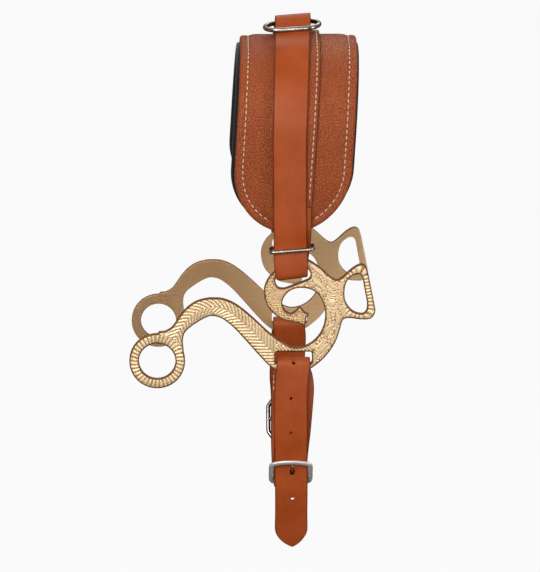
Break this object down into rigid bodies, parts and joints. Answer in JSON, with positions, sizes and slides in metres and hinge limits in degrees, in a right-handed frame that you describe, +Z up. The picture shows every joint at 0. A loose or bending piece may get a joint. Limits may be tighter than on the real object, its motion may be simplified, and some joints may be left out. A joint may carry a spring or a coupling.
{
  "type": "mechanical hackamore",
  "caption": "Bitless noseband with a padded leather nose arch, cast ornamental brass cheek plates with rein rings, and a buckled leather chin strap.",
  "frame": {"origin": "top of the nose on the lining's inner face, in the middle plane between the cheek plates", "axes": "+Z up through the nose arch, -Y to the near (left) cheek plate, +X towards the headstall eyes"},
  "size_m": [0.1773, 0.1416, 0.3866],
  "materials": {
    "neoprene": "matt black neoprene",
    "foam": "soft foam",
    "grained_leather": "pebble grained, satin",
    "strap_leather": "smooth, satin",
    "nickel": "polished nickel",
    "brass": "cast relief outside, brushed inside",
    "thread": "waxed thread"
  },
  "bodies": {
    "noseband": {"nose_pad_lining": "neoprene", "nose_pad_filler": "foam", "nose_pad_cover": "grained_leather", "base_strap": "strap_leather", "noseband_strap": "strap_leather", "pad_border_stitching": "thread", "base_strap_stitching": "thread"},
    "top_ring": {"top_ring": "nickel"},
    "near_keeper": {"near_keeper": "nickel"},
    "far_keeper": {"far_keeper": "nickel"},
    "near_cheek": {"near_cheek_plate": "brass"},
    "far_cheek": {"far_cheek_plate": "brass"},
    "chin_strap": {"chin_strap": "strap_leather", "near_chape": "strap_leather", "far_chape": "strap_leather", "near_buckle_frame": "nickel", "far_buckle_frame": "nickel", "near_chape_stitching": "thread", "far_chape_stitching": "thread"},
    "near_tongue": {"near_buckle_tongue": "nickel"},
    "far_tongue": {"far_buckle_tongue": "nickel"}
  },
  "joints": [
    {"name": "near_cheek_swing", "type": "hinge", "parent": "noseband", "child": "near_cheek", "pos_m": [0.001, -0.062, -0.1485], "axis": [0, 1, 0], "range_deg": [-5, 5]},
    {"name": "far_cheek_swing", "type": "hinge", "parent": "noseband", "child": "far_cheek", "pos_m": [0.001, 0.062, -0.1485], "axis": [0, 1, 0], "range_deg": [-5, 5]},
    {"name": "chin_strap_swing", "type": "hinge", "parent": "near_cheek", "child": "chin_strap", "pos_m": [0.002, -0.062, -0.2196], "axis": [0, 1, 0], "range_deg": [-5, 5]},
    {"name": "top_ring_lift", "type": "hinge", "parent": "noseband", "child": "top_ring", "pos_m": [0.002, 0.0041, 0.0186], "axis": [0.9978, 0, 0.0663], "range_deg": [-150, 0]},
    {"name": "near_keeper_slide", "type": "slide", "parent": "noseband", "child": "near_keeper", "axis": [0, 0, 1], "range_m": [-0.003, 0.004]},
    {"name": "far_keeper_slide", "type": "slide", "parent": "noseband", "child": "far_keeper", "axis": [0, 0, 1], "range_m": [-0.003, 0.004]},
    {"name": "near_tongue_lift", "type": "hinge", "parent": "chin_strap", "child": "near_tongue", "pos_m": [0.001, -0.0558, -0.3104], "axis": [1, 0, 0], "range_deg": [0, 3]},
    {"name": "far_tongue_lift", "type": "hinge", "parent": "chin_strap", "child": "far_tongue", "pos_m": [0.001, 0.05905, -0.29357], "axis": [-1, 0, 0], "range_deg": [0, 3]}
  ],
  "couplings": [
    {"joint": "far_cheek_swing", "follows": "near_cheek_swing", "ratio": 1},
    {"joint": "chin_strap_swing", "follows": "near_cheek_swing", "ratio": -1}
  ]
}
